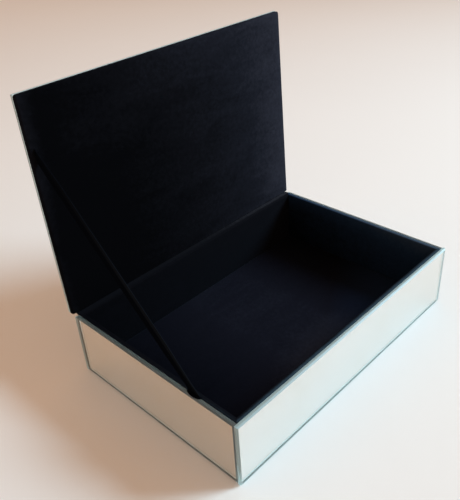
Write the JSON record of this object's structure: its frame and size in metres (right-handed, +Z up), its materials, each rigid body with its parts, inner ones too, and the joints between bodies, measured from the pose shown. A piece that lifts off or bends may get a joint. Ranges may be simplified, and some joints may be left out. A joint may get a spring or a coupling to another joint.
{
  "type": "mirrored jewelry box",
  "caption": "Low rectangular keepsake box faced with mirror glass and lined in black velvet, with a flat lid on a cloth hinge, held open by a ribbon.",
  "frame": {"origin": "centre of the underside, where the box stands", "axes": "+X along the hinge, to the right seen from the front; +Y to the back, where the hinge is; +Z up"},
  "size_m": [0.24, 0.1739, 0.212],
  "materials": {
    "mirror_glass": "polished silvered glass with ground pale green edges",
    "black_velvet": "short-pile black velvet with a slight blue cast",
    "fibreboard": "medium density fibreboard stained black",
    "black_felt": "thin matted felt",
    "black_ribbon": "woven grosgrain ribbon with a soft sheen",
    "black_tape": "plain woven cloth tape"
  },
  "bodies": {
    "base": {"base_felt": "black_felt", "base_board": "fibreboard", "front_wall_board": "fibreboard", "back_wall_board": "fibreboard", "left_wall_board": "fibreboard", "right_wall_board": "fibreboard", "front_mirror": "mirror_glass", "back_mirror": "mirror_glass", "left_mirror": "mirror_glass", "right_mirror": "mirror_glass", "front_lining": "black_velvet", "back_lining": "black_velvet", "left_lining": "black_velvet", "right_lining": "black_velvet", "floor_pad": "black_velvet", "hinge_tape_wall_leaf": "black_tape", "stay_ribbon": "black_ribbon"},
    "lid": {"lid_board": "fibreboard", "lid_mirror": "mirror_glass", "lid_lining": "black_velvet", "hinge_tape_lid_leaf": "black_tape"}
  },
  "joints": [
    {"name": "lid_hinge", "type": "hinge", "parent": "base", "child": "lid", "pos_m": [0, 0.08, 0.0522], "axis": [1, 0, 0], "range_deg": [0, 92.5], "deforming": ["stay_ribbon"]}
  ]
}
